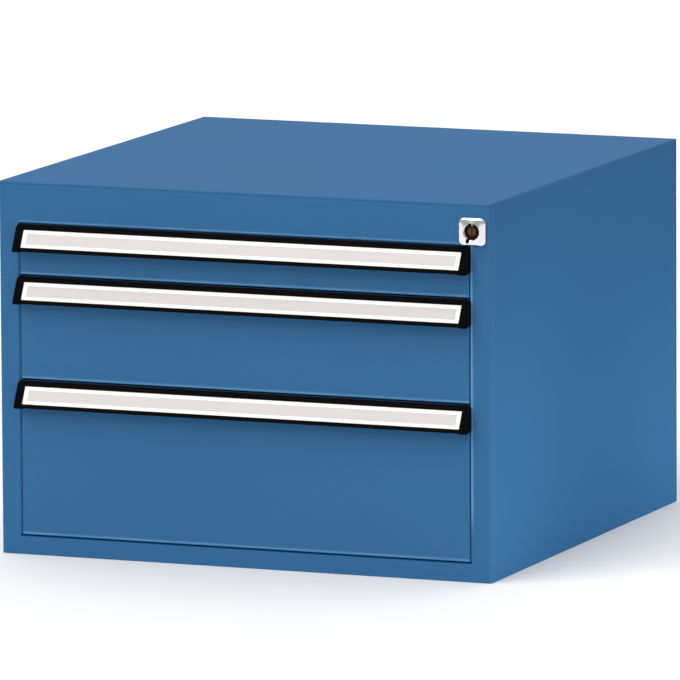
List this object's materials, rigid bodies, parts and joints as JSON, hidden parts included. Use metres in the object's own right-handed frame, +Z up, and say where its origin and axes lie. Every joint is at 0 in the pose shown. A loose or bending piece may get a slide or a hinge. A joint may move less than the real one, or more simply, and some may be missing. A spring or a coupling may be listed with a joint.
{
  "type": "multi-drawer cabinet",
  "caption": "Low steel drawer cabinet with full-width label-strip handles, telescopic slides and a key lock that bars every drawer.",
  "frame": {"origin": "centre of the housing's footprint, on the surface that the cabinet stands on", "axes": "+Z up, front of the cabinet towards -Y, +X to the right as seen from the front"},
  "size_m": [0.762, 0.7843, 0.5452],
  "materials": {
    "cabinet_paint": "semi-gloss blue powder coat",
    "drawer_paint": "semi-gloss blue powder coat",
    "zinc_steel": "bright zinc plating",
    "handle_black": "satin black anodised profile",
    "cap_plastic": "moulded black plastic",
    "label_card": "off-white card",
    "label_film": "clear glossy strip",
    "lock_chrome": "bright chrome",
    "lock_bronze": "dark bronze",
    "lock_brass": "dull brass"
  },
  "bodies": {
    "housing": {"front_frame": "cabinet_paint", "side_panel_left": "cabinet_paint", "side_panel_right": "cabinet_paint", "top_panel": "cabinet_paint", "bottom_panel": "cabinet_paint", "back_panel": "cabinet_paint", "upright_front_left": "cabinet_paint", "upright_front_right": "cabinet_paint", "upright_rear_left": "cabinet_paint", "upright_rear_right": "cabinet_paint", "lock_nut": "zinc_steel", "lock_bar_guides": "zinc_steel", "lock_escutcheon": "lock_chrome", "lock_barrel": "lock_bronze", "drawer_1_cabinet_rail_left": "zinc_steel", "drawer_1_cabinet_rail_right": "zinc_steel", "drawer_2_cabinet_rail_left": "zinc_steel", "drawer_2_cabinet_rail_right": "zinc_steel", "drawer_3_cabinet_rail_left": "zinc_steel", "drawer_3_cabinet_rail_right": "zinc_steel"},
    "lock_core": {"lock_plug": "lock_brass", "lock_cam": "zinc_steel", "lock_cam_screw": "zinc_steel"},
    "lock_bar": {"lock_bar": "zinc_steel"},
    "drawer_1": {"drawer_1_tray": "drawer_paint", "drawer_1_front": "cabinet_paint", "drawer_1_handle": "handle_black", "drawer_1_end_caps": "cap_plastic", "drawer_1_label": "label_card", "drawer_1_label_cover": "label_film", "drawer_1_handle_rivets": "zinc_steel", "drawer_1_catch": "zinc_steel", "drawer_1_drawer_rail_left": "zinc_steel", "drawer_1_drawer_rail_right": "zinc_steel"},
    "carriage_1": {"drawer_1_middle_rail_left": "zinc_steel", "drawer_1_middle_rail_right": "zinc_steel"},
    "drawer_2": {"drawer_2_tray": "drawer_paint", "drawer_2_front": "cabinet_paint", "drawer_2_handle": "handle_black", "drawer_2_end_caps": "cap_plastic", "drawer_2_label": "label_card", "drawer_2_label_cover": "label_film", "drawer_2_handle_rivets": "zinc_steel", "drawer_2_catch": "zinc_steel", "drawer_2_drawer_rail_left": "zinc_steel", "drawer_2_drawer_rail_right": "zinc_steel"},
    "carriage_2": {"drawer_2_middle_rail_left": "zinc_steel", "drawer_2_middle_rail_right": "zinc_steel"},
    "drawer_3": {"drawer_3_tray": "drawer_paint", "drawer_3_front": "cabinet_paint", "drawer_3_handle": "handle_black", "drawer_3_end_caps": "cap_plastic", "drawer_3_label": "label_card", "drawer_3_label_cover": "label_film", "drawer_3_handle_rivets": "zinc_steel", "drawer_3_catch": "zinc_steel", "drawer_3_drawer_rail_left": "zinc_steel", "drawer_3_drawer_rail_right": "zinc_steel"},
    "carriage_3": {"drawer_3_middle_rail_left": "zinc_steel", "drawer_3_middle_rail_right": "zinc_steel"}
  },
  "joints": [
    {"name": "drawer_1_slide", "type": "slide", "parent": "housing", "child": "drawer_1", "axis": [0, -1, 0], "range_m": [0, 0.66]},
    {"name": "carriage_1_slide", "type": "slide", "parent": "housing", "child": "carriage_1", "axis": [0, -1, 0], "range_m": [0, 0.33]},
    {"name": "drawer_2_slide", "type": "slide", "parent": "housing", "child": "drawer_2", "axis": [0, -1, 0], "range_m": [0, 0.66]},
    {"name": "carriage_2_slide", "type": "slide", "parent": "housing", "child": "carriage_2", "axis": [0, -1, 0], "range_m": [0, 0.33]},
    {"name": "drawer_3_slide", "type": "slide", "parent": "housing", "child": "drawer_3", "axis": [0, -1, 0], "range_m": [0, 0.66]},
    {"name": "carriage_3_slide", "type": "slide", "parent": "housing", "child": "carriage_3", "axis": [0, -1, 0], "range_m": [0, 0.33]},
    {"name": "lock_bar_slide", "type": "slide", "parent": "housing", "child": "lock_bar", "axis": [0, 0, -1], "range_m": [0, 0.00905]},
    {"name": "lock_turn", "type": "hinge", "parent": "housing", "child": "lock_core", "pos_m": [0.355, -0.381, 0.5057], "axis": [0, 1, 0], "range_deg": [0, 90]}
  ],
  "couplings": [
    {"joint": "carriage_1_slide", "follows": "drawer_1_slide", "ratio": 0.5},
    {"joint": "carriage_2_slide", "follows": "drawer_2_slide", "ratio": 0.5},
    {"joint": "carriage_3_slide", "follows": "drawer_3_slide", "ratio": 0.5},
    {"joint": "lock_turn", "follows": "lock_bar_slide", "rad_per_m": 173.56}
  ]
}
